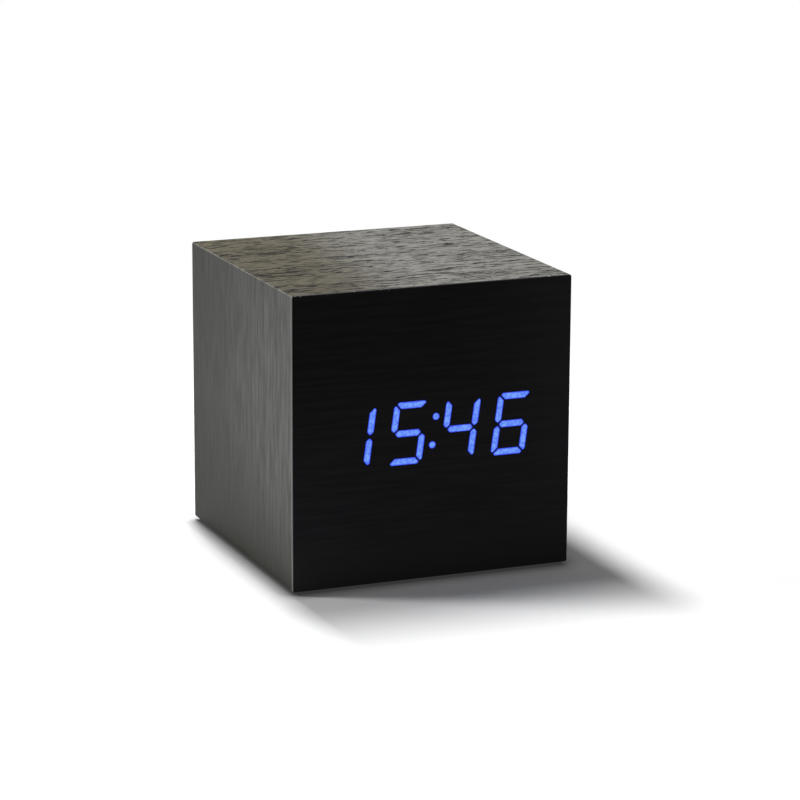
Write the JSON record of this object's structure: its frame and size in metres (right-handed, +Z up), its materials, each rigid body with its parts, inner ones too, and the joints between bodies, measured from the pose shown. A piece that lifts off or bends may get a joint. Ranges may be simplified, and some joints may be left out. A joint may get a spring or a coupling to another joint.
{
  "type": "wooden digital alarm clock",
  "caption": "Cube digital alarm clock in a black wood-veneer case, with a blue segment display shining through the front, rear keys, a battery bay and a power inlet.",
  "frame": {"origin": "on the table, under the middle of the case", "axes": "+X to the viewer's right when facing the display, -Y out of the display, +Z up"},
  "size_m": [0.068, 0.068, 0.0688],
  "materials": {
    "black_veneer": "black-stained satin veneer",
    "front_veneer": "black-stained satin veneer, thin enough to let light through",
    "fibre_board": "raw, edges stained dark at the rear",
    "pine_block": "raw sawn",
    "foot_rubber": "matte",
    "housing_white": "matte moulded",
    "lit_resin": "cast, lit from behind",
    "unlit_resin": "cast, milky",
    "led_chip": "clear domed",
    "circuit_board": "solder mask",
    "screw_steel": "zinc plated",
    "socket_ivory": "moulded",
    "ribbon_grey": "ribbed insulation",
    "cover_black": "fine spark texture",
    "cell_jacket": "shrink sleeve",
    "spring_steel": "nickel plated",
    "contact_nickel": "nickel plated",
    "chip_black": "moulded",
    "metal_can": "drawn",
    "capacitor_sleeve": "shrink sleeve",
    "pin_brass": "plated",
    "switch_black": "moulded",
    "plunger_ivory": "moulded",
    "key_grey": "satin moulded",
    "inlet_black": "moulded"
  },
  "bodies": {
    "case": {"wrap_veneer": "black_veneer", "front_veneer": "front_veneer", "top_board": "fibre_board", "bottom_board": "fibre_board", "left_board": "fibre_board", "right_board": "fibre_board", "front_board": "fibre_board", "corner_blocks": "pine_block", "rubber_feet": "foot_rubber", "display_housing": "housing_white", "lit_segments": "lit_resin", "unlit_segments": "unlit_resin", "led_chips": "led_chip", "display_pcb": "circuit_board", "display_screws": "screw_steel", "ribbon_sockets": "socket_ivory", "display_ribbon": "ribbon_grey", "rear_cover": "cover_black", "rear_screws": "screw_steel", "battery_cells": "cell_jacket", "battery_springs": "spring_steel", "battery_contacts": "contact_nickel", "main_pcb": "circuit_board", "main_screws": "screw_steel", "controller_chip": "chip_black", "crystal": "metal_can", "buzzer": "chip_black", "filter_capacitor": "capacitor_sleeve", "link_pins": "pin_brass", "key_pcb": "circuit_board", "key_screws": "screw_steel", "switch_bodies": "switch_black", "dc_jack": "inlet_black", "dc_pin": "pin_brass"},
    "set_key": {"set_button": "key_grey", "set_plunger": "plunger_ivory"},
    "up_key": {"up_button": "key_grey", "up_plunger": "plunger_ivory"},
    "down_key": {"down_button": "key_grey", "down_plunger": "plunger_ivory"},
    "door": {"battery_door": "cover_black"}
  },
  "joints": [
    {"name": "set_press", "type": "slide", "parent": "case", "child": "set_key", "axis": [0, -1, 0], "range_m": [0, 0.0005], "stiffness_N_per_m": 1000},
    {"name": "up_press", "type": "slide", "parent": "case", "child": "up_key", "axis": [0, -1, 0], "range_m": [0, 0.0005], "stiffness_N_per_m": 1000},
    {"name": "down_press", "type": "slide", "parent": "case", "child": "down_key", "axis": [0, -1, 0], "range_m": [0, 0.0005], "stiffness_N_per_m": 1000},
    {"name": "door_tilt", "type": "hinge", "parent": "case", "child": "door", "pos_m": [0, 0.0318, 0.0143], "axis": [-1, 0, 0], "range_deg": [0, 80]}
  ]
}
